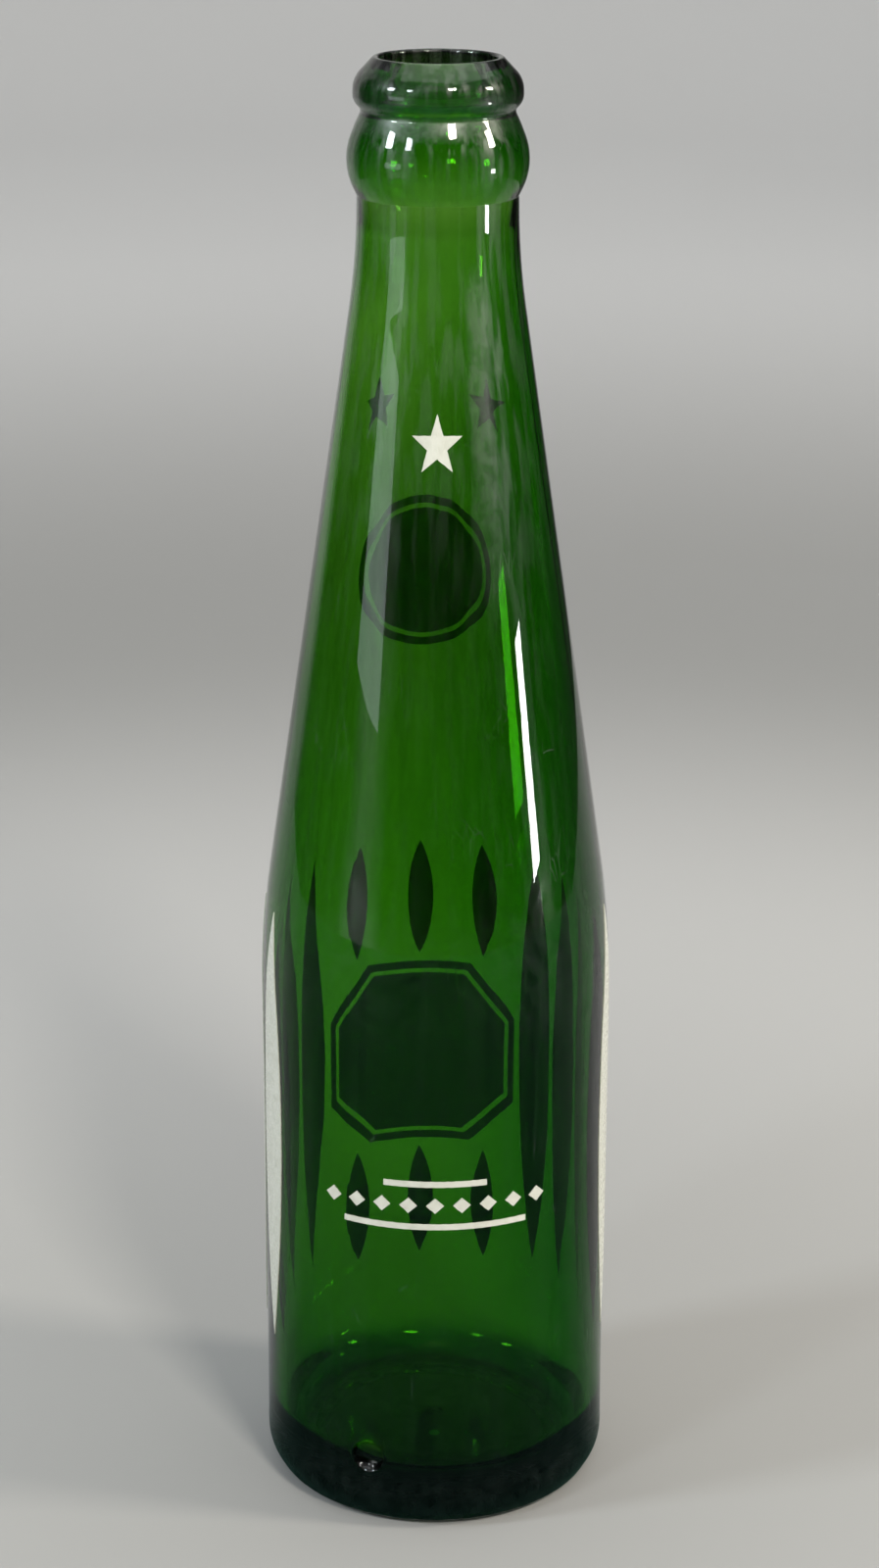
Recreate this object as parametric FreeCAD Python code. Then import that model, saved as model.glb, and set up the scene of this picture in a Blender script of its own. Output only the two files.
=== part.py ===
import FreeCAD, Part
import math
import os

# A returnable glass soda bottle with a crown finish and fired-on white enamel prints.
# Millimetres, +Z up, origin on the axis at the plane the bottle stands on; the print's front faces -Y.

# Overall sizes
HEIGHT = 241.3                # standing plane to the top of the lip
BODY_DIAMETER = 58.0
BODY_HEIGHT = 99.3            # standing plane to where body and cone would meet without their bend
SHOULDER_BEND = 150.0         # radius of the bend from the cone into the body

# Neck below the crown finish
NECK_DIAMETER = 25.4
NECK_DEPTH = 30.5             # below the top, where neck and cone would meet without their bend
NECK_BEND = 115.0

# Crown finish, as diameters and depths below the top
LIP_DIAMETER = 26.6           # standard locking ring
LIP_LAND_DIAMETER = 20.2      # corner of the sealing land before rounding
LIP_LAND_ROUND = 0.6
LIP_OVER_DEPTH = 3.4
LIP_OVER_ROUND = 4.2
LIP_UNDER_DEPTH = 6.6
LIP_UNDER_ROUND = 2.4
GROOVE_DIAMETER = 23.9        # corner before rounding, which leaves about 24.2
GROOVE_DEPTH = 8.1
GROOVE_ROUND = 1.0
BULGE_DIAMETER = 30.4         # corner of the reinforcing bulge before rounding
BULGE_DEPTH = 16.1
BULGE_ROUND = 10.2
COLLAR_DIAMETER = 25.7        # sharp lower corner of the bulge, at the neck ring's parting line
COLLAR_DEPTH = 20.95
COLLAR_STEP = 0.25            # height of the small step from that corner to the neck

# Inside
MOUTH_BORE = 18.4
MOUTH_ROUND = 0.5
BORE_DEPTH = 9.8              # end of the straight bore, under the groove
BORE_END_ROUND = 2.0
HOLLOW_WALL = 3.2             # between the bulge's corner and the hollow's corner behind it
HOLLOW_LIFT = 0.3             # hollow's corner above the bulge's corner
HOLLOW_ROUND = 8.0
NECK_WALL = 1.8
HOLLOW_END_DROP = 5.1         # hollow's end below the collar corner
HOLLOW_END_ROUND = 15.0
INNER_NECK_DROP = 1.0         # inner neck's end below the outer one
INNER_NECK_BEND = 60.0
BODY_WALL = 2.8
INNER_SHOULDER_DROP = 2.0     # inner shoulder below the outer one
INNER_SHOULDER_BEND = 150.0
FLOOR_THICKNESS = 8.2         # at the axis, above the standing plane
FLOOR_EDGE = 6.8              # floor height at the wall before the inner heel's rounding
INNER_HEEL_ROUND = 6.5

# Heel and underside
HEEL_HEIGHT = 4.2
HEEL_ROUND = 7.0
FOOT_INSET = 2.4              # foot corner inside the body's wall
FOOT_ROUND = 3.2
BEARING_WIDTH = 4.8           # from the foot corner in to the push-up
BEARING_ROUND = 0.6
PUSH_UP_WIDTH = 3.3           # slope from the bearing ring to the dome's edge
PUSH_UP_EDGE = 1.8
PUSH_UP_ROUND = 6.0
PUSH_UP_HEIGHT = 3.6

# Enamel prints
ENAMEL = 0.15                 # thickness of the fired enamel
PRINT_TURN = 4.5              # back print's turn from straight behind, in degrees
PRINT_GAP = 1.5               # bare glass between neighbouring prints
STAR_WIDTH = 7.8
STAR_HEIGHT = 8.9
STAR_LEVEL = 183.8            # height of the star's middle
STAR_SPREAD = 142.0           # side stars' turn from the front one, in degrees
STAR_WAIST = 0.40             # inner corners' distance from the middle, as a share of the points'
PETAL_BOTTOM = 27.0
PETAL_TOP = 104.0
PETAL_SIDE_ANGLE = 105.5      # outermost petal from the back print's middle, in degrees
PETALS_PER_SIDE = 4
SHORT_PETAL_WIDTH = 4.6
SHORT_PETAL_LENGTH = 21.0
SHORT_PETAL_COUNT = 3
PLATE_WIDTH = 38.0            # along the wall
PLATE_BOTTOM = 47.0
PLATE_TOP = 81.0
PLATE_CUT = 9.0               # corner cut of the eight-sided plate
FRAME_WIDTH = 1.4
FRAME_LINE = 0.8              # bare line between a frame and its field
ROUNDEL_LEVEL = 154.0
ROUNDEL_WIDTH = 27.0
ROUNDEL_HEIGHT = 27.0
RULE_HEIGHT = 1.0
UPPER_RULE_LENGTH = 17.0
LOWER_RULE_LENGTH = 31.0
LOZENGE_LEVEL = 60.3
LOZENGE_WIDTH = 2.9
LOZENGE_HEIGHT = 2.7
LOZENGE_COUNT = 9
RULE_SPACING = 3.8            # rules above and below the row of lozenges

# Radii and heights that follow from the sizes above
BODY_R = BODY_DIAMETER / 2
NECK_R = NECK_DIAMETER / 2
BORE_R = MOUTH_BORE / 2
HOLLOW_R = BULGE_DIAMETER / 2 - HOLLOW_WALL
THROAT_R = NECK_R - NECK_WALL
CAVITY_R = BODY_R - BODY_WALL
FOOT_R = BODY_R - FOOT_INSET
BEARING_R = FOOT_R - BEARING_WIDTH
PUSH_UP_R = BEARING_R - PUSH_UP_WIDTH
# From the plate's edge to the middle of the outermost petal, along the wall
PETAL_ROOM = BODY_R * math.radians(PETAL_SIDE_ANGLE) - PLATE_WIDTH / 2
PETAL_WIDTH = (PETAL_ROOM - PETALS_PER_SIDE * PRINT_GAP) / (PETALS_PER_SIDE - 0.5)
PETAL_STEP = math.degrees((PETAL_WIDTH + PRINT_GAP) / BODY_R)
SHORT_PETAL_STEP = math.degrees(PLATE_WIDTH / SHORT_PETAL_COUNT / BODY_R)
AXIS = FreeCAD.Vector(0, 0, 1)
ORIGIN = FreeCAD.Vector(0, 0, 0)


def corner_arc(before, corner, after, radius):
    """Three points of the arc that rounds a corner: its start, its middle and its end."""
    back = (before - corner).normalize()
    ahead = (after - corner).normalize()
    half_opening = back.getAngle(ahead) / 2
    reach = radius / math.tan(half_opening)
    inward = (back + ahead).normalize()
    middle = corner + inward * (radius / math.sin(half_opening) - radius)
    return corner + back * reach, middle, corner + ahead * reach


def rounded_path(corners):
    """Lines and tangent arcs through (radius, height, rounding) corners in the XZ plane."""
    points = [FreeCAD.Vector(r, 0, z) for r, z, rounding in corners]
    edges = []
    start = points[0]
    for i in range(1, len(points) - 1):
        rounding = corners[i][2]
        if rounding > 0:
            first, middle, last = corner_arc(points[i - 1], points[i], points[i + 1], rounding)
            edges.append(Part.LineSegment(start, first).toShape())
            edges.append(Part.Arc(first, middle, last).toShape())
            start = last
        else:
            edges.append(Part.LineSegment(start, points[i]).toShape())
            start = points[i]
    edges.append(Part.LineSegment(start, points[-1]).toShape())
    return edges


def turned(edges):
    """Solid of revolution about the bottle's axis from a closed loop of edges."""
    return Part.Face(Part.Wire(edges)).revolve(ORIGIN, AXIS, 360)


def below_top(depth):
    return HEIGHT - depth


def glass_bottle():
    """The one piece of glass: underside, outer wall, crown finish, bore and inside, in that order."""
    corners = [
        (0, PUSH_UP_HEIGHT, 0),
        (PUSH_UP_R, PUSH_UP_EDGE, PUSH_UP_ROUND),
        (BEARING_R, 0, BEARING_ROUND),
        (FOOT_R, 0, FOOT_ROUND),
        (BODY_R, HEEL_HEIGHT, HEEL_ROUND),
        (BODY_R, BODY_HEIGHT, SHOULDER_BEND),
        (NECK_R, below_top(NECK_DEPTH), NECK_BEND),
        (NECK_R, below_top(COLLAR_DEPTH + COLLAR_STEP), 0),
        (COLLAR_DIAMETER / 2, below_top(COLLAR_DEPTH), 0),
        (BULGE_DIAMETER / 2, below_top(BULGE_DEPTH), BULGE_ROUND),
        (GROOVE_DIAMETER / 2, below_top(GROOVE_DEPTH), GROOVE_ROUND),
        (LIP_DIAMETER / 2, below_top(LIP_UNDER_DEPTH), LIP_UNDER_ROUND),
        (LIP_DIAMETER / 2, below_top(LIP_OVER_DEPTH), LIP_OVER_ROUND),
        (LIP_LAND_DIAMETER / 2, HEIGHT, LIP_LAND_ROUND),
        (BORE_R, HEIGHT, MOUTH_ROUND),
        (BORE_R, below_top(BORE_DEPTH), BORE_END_ROUND),
        (HOLLOW_R, below_top(BULGE_DEPTH - HOLLOW_LIFT), HOLLOW_ROUND),
        (THROAT_R, below_top(COLLAR_DEPTH + HOLLOW_END_DROP), HOLLOW_END_ROUND),
        (THROAT_R, below_top(NECK_DEPTH + INNER_NECK_DROP), INNER_NECK_BEND),
        (CAVITY_R, BODY_HEIGHT - INNER_SHOULDER_DROP, INNER_SHOULDER_BEND),
        (CAVITY_R, FLOOR_EDGE, INNER_HEEL_ROUND),
        (0, FLOOR_THICKNESS, 0),
    ]
    loop = rounded_path(corners)
    axis_line = Part.LineSegment(FreeCAD.Vector(0, 0, FLOOR_THICKNESS), FreeCAD.Vector(0, 0, PUSH_UP_HEIGHT))
    loop.append(axis_line.toShape())
    return turned(loop)


def enamel_skin():
    """A thin sleeve over the body, cone and neck, from which every print is cut."""
    foot = HEEL_HEIGHT + HEEL_ROUND
    top = below_top(COLLAR_DEPTH + COLLAR_STEP)
    inner = rounded_path([
        (BODY_R, foot, 0),
        (BODY_R, BODY_HEIGHT, SHOULDER_BEND),
        (NECK_R, below_top(NECK_DEPTH), NECK_BEND),
        (NECK_R, top, 0),
    ])
    shift = FreeCAD.Vector(ENAMEL, 0, 0)
    outer = [edge.translated(shift) for edge in inner]
    ends = []
    for radius, height in ((BODY_R, foot), (NECK_R, top)):
        near = FreeCAD.Vector(radius, 0, height)
        ends.append(Part.LineSegment(near, near + shift).toShape())
    return turned(Part.sortEdges(inner + outer + ends)[0])


def wall_radius(height):
    """Outer radius of body, cone and neck at a height, with their bends left out."""
    neck_height = below_top(NECK_DEPTH)
    share = (height - BODY_HEIGHT) / (neck_height - BODY_HEIGHT)
    return BODY_R + (NECK_R - BODY_R) * min(max(share, 0), 1)


def across(arc, height):
    """Distance across the flat print that lands an arc length from its middle on the round wall."""
    radius = wall_radius(height)
    return radius * math.sin(arc / radius)


def flat(arc, height):
    """Point of a print's flat outline, from an arc length and a height."""
    return FreeCAD.Vector(across(arc, height), 0, height)


def outline(points):
    return Part.Face(Part.makePolygon(points + points[:1]))


def star_outline():
    half_width = STAR_WIDTH / 2 / math.sin(math.radians(72))
    half_height = STAR_HEIGHT / (1 + math.cos(math.radians(36)))
    points = []
    for i in range(10):
        turn = math.radians(36 * i)
        reach = STAR_WAIST if i % 2 else 1.0
        height = STAR_LEVEL + reach * half_height * math.cos(turn)
        points.append(flat(reach * half_width * math.sin(turn), height))
    return outline(points)


def petal_outline(width, bottom, top):
    middle = (bottom + top) / 2
    ends = flat(0, bottom), flat(0, top)
    right = Part.Arc(ends[0], flat(width / 2, middle), ends[1]).toShape()
    left = Part.Arc(ends[1], flat(-width / 2, middle), ends[0]).toShape()
    return Part.Face(Part.Wire([right, left]))


def plate_outline(inset):
    """Eight-sided plate, drawn in by an inset on every side."""
    side = PLATE_WIDTH / 2 - inset
    cut = PLATE_CUT - inset * math.tan(math.radians(22.5))
    low = PLATE_BOTTOM + inset
    high = PLATE_TOP - inset
    right = [(side - cut, low), (side, low + cut), (side, high - cut), (side - cut, high)]
    left = [(-arc, height) for arc, height in reversed(right)]
    return outline([flat(arc, height) for arc, height in right + left])


def roundel_outline(inset):
    wide = across(ROUNDEL_WIDTH / 2 - inset, ROUNDEL_LEVEL)
    tall = ROUNDEL_HEIGHT / 2 - inset
    centre = FreeCAD.Vector(0, 0, ROUNDEL_LEVEL)
    ring = [centre + FreeCAD.Vector(wide, 0, 0), centre + FreeCAD.Vector(0, 0, tall)]
    major, minor = ring if wide > tall else ring[::-1]
    return Part.Face(Part.Wire([Part.Ellipse(major, minor, centre).toShape()]))


def rule_outline(length, level):
    low = level - RULE_HEIGHT / 2
    high = level + RULE_HEIGHT / 2
    half = length / 2
    return outline([flat(-half, low), flat(half, low), flat(half, high), flat(-half, high)])


def lozenge_outline(arc):
    half = LOZENGE_WIDTH / 2
    rise = LOZENGE_HEIGHT / 2
    steps = ((0, -rise), (half, 0), (0, rise), (-half, 0))
    return outline([flat(arc + x, LOZENGE_LEVEL + z) for x, z in steps])


def printed(skin, face, angle):
    """A print: its flat outline carried outwards at an angle from the front and cut from the skin."""
    block = face.extrude(FreeCAD.Vector(0, -BODY_DIAMETER, 0))
    block.rotate(ORIGIN, AXIS, angle)
    return skin.common(block).Solids[0]


def prints(skin):
    """Every enamel print by name, at its angle from the front, counted towards +X."""
    back = 180 + PRINT_TURN
    made = {}
    for name, turn in (("front_star", 0), ("right_star", STAR_SPREAD), ("left_star", -STAR_SPREAD)):
        made[name] = printed(skin, star_outline(), turn)

    petal = petal_outline(PETAL_WIDTH, PETAL_BOTTOM, PETAL_TOP)
    number = 0
    for side in (-1, 1):
        for i in range(PETALS_PER_SIDE):
            number += 1
            turn = side * (PETAL_SIDE_ANGLE - i * PETAL_STEP)
            made[f"petal_{number}"] = printed(skin, petal, back + turn)

    rows = {
        "upper_petal": PLATE_TOP + PRINT_GAP,
        "lower_petal": PLATE_BOTTOM - PRINT_GAP - SHORT_PETAL_LENGTH,
    }
    for name, bottom in rows.items():
        face = petal_outline(SHORT_PETAL_WIDTH, bottom, bottom + SHORT_PETAL_LENGTH)
        for i in range(SHORT_PETAL_COUNT):
            turn = (i - (SHORT_PETAL_COUNT - 1) / 2) * SHORT_PETAL_STEP
            made[f"{name}_{i + 1}"] = printed(skin, face, back + turn)

    field = FRAME_WIDTH + FRAME_LINE
    plate_frame = plate_outline(0).cut(plate_outline(FRAME_WIDTH))
    made["plate_frame"] = printed(skin, plate_frame, back)
    made["plate_field"] = printed(skin, plate_outline(field), back)
    roundel_frame = roundel_outline(0).cut(roundel_outline(FRAME_WIDTH))
    made["roundel_frame"] = printed(skin, roundel_frame, back)
    made["roundel_field"] = printed(skin, roundel_outline(field), back)

    made["upper_rule"] = printed(skin, rule_outline(UPPER_RULE_LENGTH, LOZENGE_LEVEL + RULE_SPACING), 0)
    made["lower_rule"] = printed(skin, rule_outline(LOWER_RULE_LENGTH, LOZENGE_LEVEL - RULE_SPACING), 0)
    pitch = LOZENGE_WIDTH + PRINT_GAP
    for i in range(LOZENGE_COUNT):
        arc = (i - (LOZENGE_COUNT - 1) / 2) * pitch
        turn = math.degrees(arc / BODY_R)
        made[f"lozenge_{i + 1}"] = printed(skin, lozenge_outline(0), turn)
    return made


def main():
    os.makedirs("parts", exist_ok=True)
    pieces = {"glass_bottle": glass_bottle()}
    pieces.update(prints(enamel_skin()))
    for name, shape in pieces.items():
        shape.exportStep(f"parts/{name}.step")
        print(name, shape.ShapeType, "valid", shape.isValid(), "volume", round(shape.Volume, 3))


main()
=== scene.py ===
import math

import bmesh
import bpy
import numpy as np
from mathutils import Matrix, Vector


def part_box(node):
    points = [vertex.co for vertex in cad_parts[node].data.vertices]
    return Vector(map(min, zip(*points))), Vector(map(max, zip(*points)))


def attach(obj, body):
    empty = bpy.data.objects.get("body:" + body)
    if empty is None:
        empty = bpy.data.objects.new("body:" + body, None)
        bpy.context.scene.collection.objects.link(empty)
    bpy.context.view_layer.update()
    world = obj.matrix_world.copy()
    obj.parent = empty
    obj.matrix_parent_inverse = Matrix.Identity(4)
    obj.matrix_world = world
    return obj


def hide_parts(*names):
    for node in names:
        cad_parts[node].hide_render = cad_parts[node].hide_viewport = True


bl_info = {
    "name": "Glass soda bottle",
    "version": (1, 0, 0),
    "blender": (4, 5, 0),
    "location": "3D View > Sidebar > Bottle",
    "description": "Green crown-finish soda bottle with enamel prints, built round its packed frame",
    "category": "Add Mesh",
}

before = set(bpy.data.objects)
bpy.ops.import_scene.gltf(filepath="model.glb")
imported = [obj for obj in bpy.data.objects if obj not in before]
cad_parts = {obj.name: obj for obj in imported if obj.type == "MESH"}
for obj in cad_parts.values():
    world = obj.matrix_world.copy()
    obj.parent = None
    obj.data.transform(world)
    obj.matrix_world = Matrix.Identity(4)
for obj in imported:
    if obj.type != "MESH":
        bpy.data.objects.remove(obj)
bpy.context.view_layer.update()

MM = 0.001
BODY = "root"
GLASS_NODE = "glass_bottle"
_, GLASS_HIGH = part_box(GLASS_NODE)
# Rows of the picture in which the focal length is counted
IMAGE_HEIGHT = 1600

# Small insets and roundings of the glass that follow its mould
FOOT_INSET = 2.4 * MM
FOOT_ROUND = 3.2 * MM
HEEL_LEVEL = 4.2 * MM
HEEL_ROUND = 7.0 * MM
BEARING_WIDTH = 4.8 * MM
BEARING_ROUND = 0.6 * MM
DOME_INSET = 3.3 * MM
DOME_LEVEL = 1.8 * MM
DOME_ROUND = 6.0 * MM
COLLAR_STEP = 0.25 * MM
COLLAR_ROUND = 0.15 * MM
BULGE_ROUND = 10.2 * MM
FLANK_REACH = 1.0 * MM
FLANK_DEPTH = 10.26 * MM
FLANK_ROUND = 20 * MM
GROOVE_DEPTH = 8.1 * MM
GROOVE_ROUND = 1.0 * MM
LIP_UNDER_DEPTH = 6.6 * MM
LIP_UNDER_ROUND = 2.4 * MM
LIP_OVER_DEPTH = 3.4 * MM
LIP_OVER_ROUND = 4.2 * MM
LAND_INSET = 3.2 * MM
LAND_ROUND = 0.6 * MM
MOUTH_ROUND = 0.5 * MM
MOUTH_JOIN_DEPTH = 4.0 * MM
BORE_END_ROUND = 2.0 * MM
HOLLOW_LIFT = 0.3 * MM
HOLLOW_ROUND = 8.0 * MM
THROAT_DROP = 5.1 * MM
THROAT_ROUND = 15.0 * MM
INNER_NECK_DROP = 1.0 * MM
INNER_NECK_BEND = 60.0 * MM
INNER_BODY_DROP = 2.0 * MM
INNER_SHOULDER_BEND = 150 * MM
FLOOR_ROUND = 6.5 * MM

# Heights between which marks on the glass start or fade
FINISH_FROM = (0.2295, 0.2325)
FINISH_TO = (0.2345, 0.2375)
NECK_FROM = (0.150, 0.200)
# Heights over which the painted sheen band on the neck fades out towards the top
SHEEN_BAND_TO = (0.212, 0.204)
CONE_FROM = (0.095, 0.135)
CONE_TO = (0.210, 0.170)
SHOULDER_FROM = (0.080, 0.094)
SHOULDER_TO = (0.116, 0.100)
HEEL_TO = (0.013, 0.006)

# Turn from the front of the painted sheen band on the neck, a coat patch that stands in for a soft
# reflection, in radians
SHEEN_BAND_TURN = 0.46


def length(name, description, millimetres):
    """A length property, with its default given in millimetres."""
    return bpy.props.FloatProperty(
        name=name, description=description, default=millimetres * MM, unit="LENGTH", precision=5)


def share(name, description, value):
    return bpy.props.FloatProperty(
        name=name, description=description, default=value, min=0, max=1, subtype="FACTOR")


def number(name, description, value):
    return bpy.props.FloatProperty(name=name, description=description, default=value)


def angle(name, description, degrees):
    return bpy.props.FloatProperty(
        name=name, description=description, default=math.radians(degrees), subtype="ANGLE")


def colour(name, description, value):
    return bpy.props.FloatVectorProperty(
        name=name, description=description, default=value, size=3, subtype="COLOR", min=0, max=1)


class BottleGlassSizes(bpy.types.PropertyGroup):
    """Sizes of the glass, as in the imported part."""
    height: length("Height", "Standing plane to the top of the lip", GLASS_HIGH.z / MM)
    body_radius: length("Body radius", "Outer radius of the straight body", GLASS_HIGH.x / MM)
    body_height: length("Body height", "Where body and cone would meet without their bend", 99.3)
    shoulder_bend: length("Shoulder bend", "Radius of the bend from cone to body", 150)
    neck_radius: length("Neck radius", "Outer radius under the finish", 12.7)
    neck_depth: length("Neck depth", "Below the top, where neck and cone would meet", 30.5)
    neck_bend: length("Neck bend", "Radius of the bend from neck to cone", 115)
    lip_radius: length("Lip radius", "Radius of the locking ring", 13.3)
    groove_radius: length("Groove radius", "Corner under the locking ring before rounding", 11.95)
    bulge_radius: length("Bulge radius", "Corner of the reinforcing bulge before rounding", 15.2)
    bulge_depth: length("Bulge depth", "Depth of the bulge's corner below the top", 16.1)
    collar_radius: length("Collar radius", "Sharp lower corner of the bulge", 12.85)
    collar_depth: length("Collar depth", "Depth of the collar corner below the top", 20.95)
    bore_radius: length("Bore radius", "Radius of the mouth", 9.2)
    bore_depth: length("Bore depth", "End of the straight bore below the top", 9.8)
    neck_wall: length("Neck wall", "Glass thickness in the neck", 1.8)
    bulge_wall: length("Bulge wall", "Glass thickness behind the bulge's corner", 3.2)
    body_wall: length("Body wall", "Glass thickness in the body", 2.8)
    floor_thickness: length("Floor", "Height of the inner floor at the axis", 8.2)
    floor_edge: length("Floor edge", "Height of the inner floor at the wall", 6.8)
    push_up: length("Push-up", "Height of the dome underneath", 3.6)


class BottleGlassFlaws(bpy.types.PropertyGroup):
    """How far the blown glass strays from its drawing."""
    wave: length("Wall waves", "Depth of the upright waves inside the wall", 0.055)
    lean: length("Off centre", "How far the inside sits off the axis", 0.55)
    seam_height: length("Seam height", "Height of the mould seams", 0.05)
    heel_seam_level: length("Heel seam level", "Height of the mould seam round the heel", 7.0)
    blister_radius: length("Blister radius", "Radius of the air blister at the heel", 2.7)
    blister_depth: length("Blister depth", "How far the open blister sinks into the wall", 1.3)
    blister_level: length("Blister level", "Height of the blister's middle", 13.1)
    blister_angle: angle("Blister angle", "Turn of the blister from the front", -22.5)


class BottlePrintSizes(bpy.types.PropertyGroup):
    """Sizes of the enamel prints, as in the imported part."""
    enamel: length("Enamel", "Thickness of the fired enamel", 0.15)
    sink: length("Sink", "How deep the enamel is fused into the glass", 0.03)
    ragged: length("Ragged edge", "Unevenness of a print's edge", 0.05)
    turn: angle("Back turn", "Turn of the back print from straight behind", 4.5)
    gap: length("Gap", "Bare glass between neighbouring prints", 1.5)
    star_width: length("Star width", "Point to point across", 7.8)
    star_height: length("Star height", "Top point to the feet", 8.9)
    star_level: length("Star level", "Height of the star's middle", 183.8)
    star_spread: angle("Star spread", "Side stars' turn from the front one", 142)
    star_waist: share("Star waist", "Inner corners' distance from the middle", 0.40)
    petal_bottom: length("Petal bottom", "Lower tip of the tall petals", 27)
    petal_top: length("Petal top", "Upper tip of the tall petals", 104)
    petal_side: angle("Side petal", "Outermost petal from the back print's middle", 105.5)
    short_width: length("Short petal width", "Widest part of a short petal", 4.6)
    short_length: length("Short petal length", "Tip to tip", 21)
    plate_width: length("Plate width", "Along the wall", 38)
    plate_bottom: length("Plate bottom", "Lower edge of the plate", 47)
    plate_top: length("Plate top", "Upper edge of the plate", 81)
    plate_cut: length("Plate cut", "Corner cut of the eight-sided plate", 9)
    frame_width: length("Frame width", "Width of the plate's and roundel's frame", 1.4)
    frame_line: length("Frame line", "Bare line between frame and field", 0.8)
    roundel_level: length("Roundel level", "Height of the roundel's middle", 154)
    roundel_size: length("Roundel size", "Across the roundel", 27)
    rule_height: length("Rule height", "Height of a printed rule", 1.0)
    upper_rule: length("Upper rule", "Length of the upper rule", 17)
    lower_rule: length("Lower rule", "Length of the lower rule", 31)
    rule_spacing: length("Rule spacing", "Rules from the row of lozenges", 3.8)
    lozenge_level: length("Lozenge level", "Height of the row of lozenges", 60.3)
    lozenge_width: length("Lozenge width", "Across a lozenge", 2.9)
    lozenge_height: length("Lozenge height", "Tip to tip", 2.7)


class BottleLook(bpy.types.PropertyGroup):
    """Colours of the glass and the enamel."""
    clear: colour("Glass absorption", "Light that a stretch of glass lets through", (0.42, 0.75, 0.04))
    density: number("Glass density", "Absorption per metre", 1060)
    index: number("Refraction", "Index of refraction of soda-lime glass", 1.52)
    streak: colour("Glass streaks", "Tint of the darker streaks drawn down the glass", (0.78, 0.84, 0.74))
    enamel: colour("Enamel", "Fired white enamel", (0.74, 0.75, 0.66))
    enamel_worn: colour("Worn enamel", "Enamel where it is thin and stained", (0.55, 0.56, 0.46))


class BottleStageLook(bpy.types.PropertyGroup):
    """Camera, paper cove with painted light and shade, and black cards that only reflections show, as
    painted dark reflections.
    """
    camera_distance: length("Camera distance", "Camera in front of the axis", 540)
    camera_height: length("Camera height", "Camera above the standing plane", 306.2)
    camera_pitch: angle("Camera pitch", "Camera's tilt down", 18.74)
    camera_roll: angle("Camera roll", "Camera's turn about its view", -0.17)
    focal_pixels: number("Focal length", "In pixels of the picture", 3529)
    cove_radius: length("Cove radius", "Paper floor out to the foot of its wall", 2300)
    cove_bend: length("Cove bend", "Radius of the bend from floor to wall", 700)
    cove_height: length("Cove height", "Top of the paper wall", 1700)
    # Paper tones that paint light and shade: darker round the bottle, paler a little way off, a dim painted
    # shade band, and paler far off
    paper: colour("Paper", "Paper round the bottle", (0.39, 0.39, 0.38))
    paper_painted_light: colour("Pale paper", "Paper a little way off", (0.51, 0.51, 0.50))
    paper_far_painted_light: colour("Far paper", "Paper at the foot of the wall", (0.80, 0.80, 0.79))
    paper_painted_shade: colour("Dim paper", "Paper in the dim band between", (0.36, 0.36, 0.35))
    # Inner edge of the painted contact shade that the heel reflects
    card_front: length("Card front", "Near card's inner edge, from the axis", 26.7)
    card_middle: length("Card middle", "Where the near card ends and the far cards start", 600)


# Profile of the glass


def rounded_corner(before, corner, after, radius, steps=24):
    """Points of the tangent arc that rounds a corner of a profile."""
    back = (before - corner).normalized()
    ahead = (after - corner).normalized()
    half = back.angle(ahead) / 2
    inward = (back + ahead).normalized()
    centre = corner + inward * (radius / math.sin(half))
    first = corner + back * (radius / math.tan(half)) - centre
    last = corner + ahead * (radius / math.tan(half)) - centre
    turn = first.angle_signed(last)
    points = []
    for i in range(steps + 1):
        a = -turn * i / steps
        c, s = math.cos(a), math.sin(a)
        points.append(centre + Vector((first.x * c - first.y * s, first.x * s + first.y * c)))
    return points


def profile(corners, spacing, fine=None, closeness=5):
    """Points through (radius, height, rounding) corners, closer together between the fine heights."""
    points = [Vector(c[:2]) for c in corners]
    path = [points[0]]
    for i in range(1, len(points) - 1):
        rounding = corners[i][2]
        if rounding > 0:
            path += rounded_corner(points[i - 1], points[i], points[i + 1], rounding)
        else:
            path.append(points[i])
    path.append(points[-1])
    dense = [path[0]]
    for a, b in zip(path, path[1:]):
        steps = max(1, math.ceil((b - a).length / spacing))
        for i in range(steps):
            start, end = a.lerp(b, i / steps), a.lerp(b, (i + 1) / steps)
            close = closeness if fine and fine[0] < end.y < fine[1] else 1
            dense += [start.lerp(end, (j + 1) / close) for j in range(close)]
    return dense


def outer_corners(g):
    """Underside, body, cone and crown finish, up to the mouth."""
    foot = g.body_radius - FOOT_INSET
    bearing = foot - BEARING_WIDTH
    top = g.height
    return [
        (0, g.push_up, 0),
        (bearing - DOME_INSET, DOME_LEVEL, DOME_ROUND),
        (bearing, 0, BEARING_ROUND),
        (foot, 0, FOOT_ROUND),
        (g.body_radius, HEEL_LEVEL, HEEL_ROUND),
        (g.body_radius, g.body_height, g.shoulder_bend),
        (g.neck_radius, top - g.neck_depth, g.neck_bend),
        (g.neck_radius, top - g.collar_depth - COLLAR_STEP, COLLAR_ROUND),
        (g.collar_radius, top - g.collar_depth, COLLAR_ROUND),
        (g.bulge_radius, top - g.bulge_depth, BULGE_ROUND),
        (g.groove_radius + FLANK_REACH, top - FLANK_DEPTH, FLANK_ROUND),
        (g.groove_radius, top - GROOVE_DEPTH, GROOVE_ROUND),
        (g.lip_radius, top - LIP_UNDER_DEPTH, LIP_UNDER_ROUND),
        (g.lip_radius, top - LIP_OVER_DEPTH, LIP_OVER_ROUND),
        (g.lip_radius - LAND_INSET, top, LAND_ROUND),
        (g.bore_radius, top, MOUTH_ROUND),
        (g.bore_radius, top - MOUTH_JOIN_DEPTH, 0),
    ]


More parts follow.
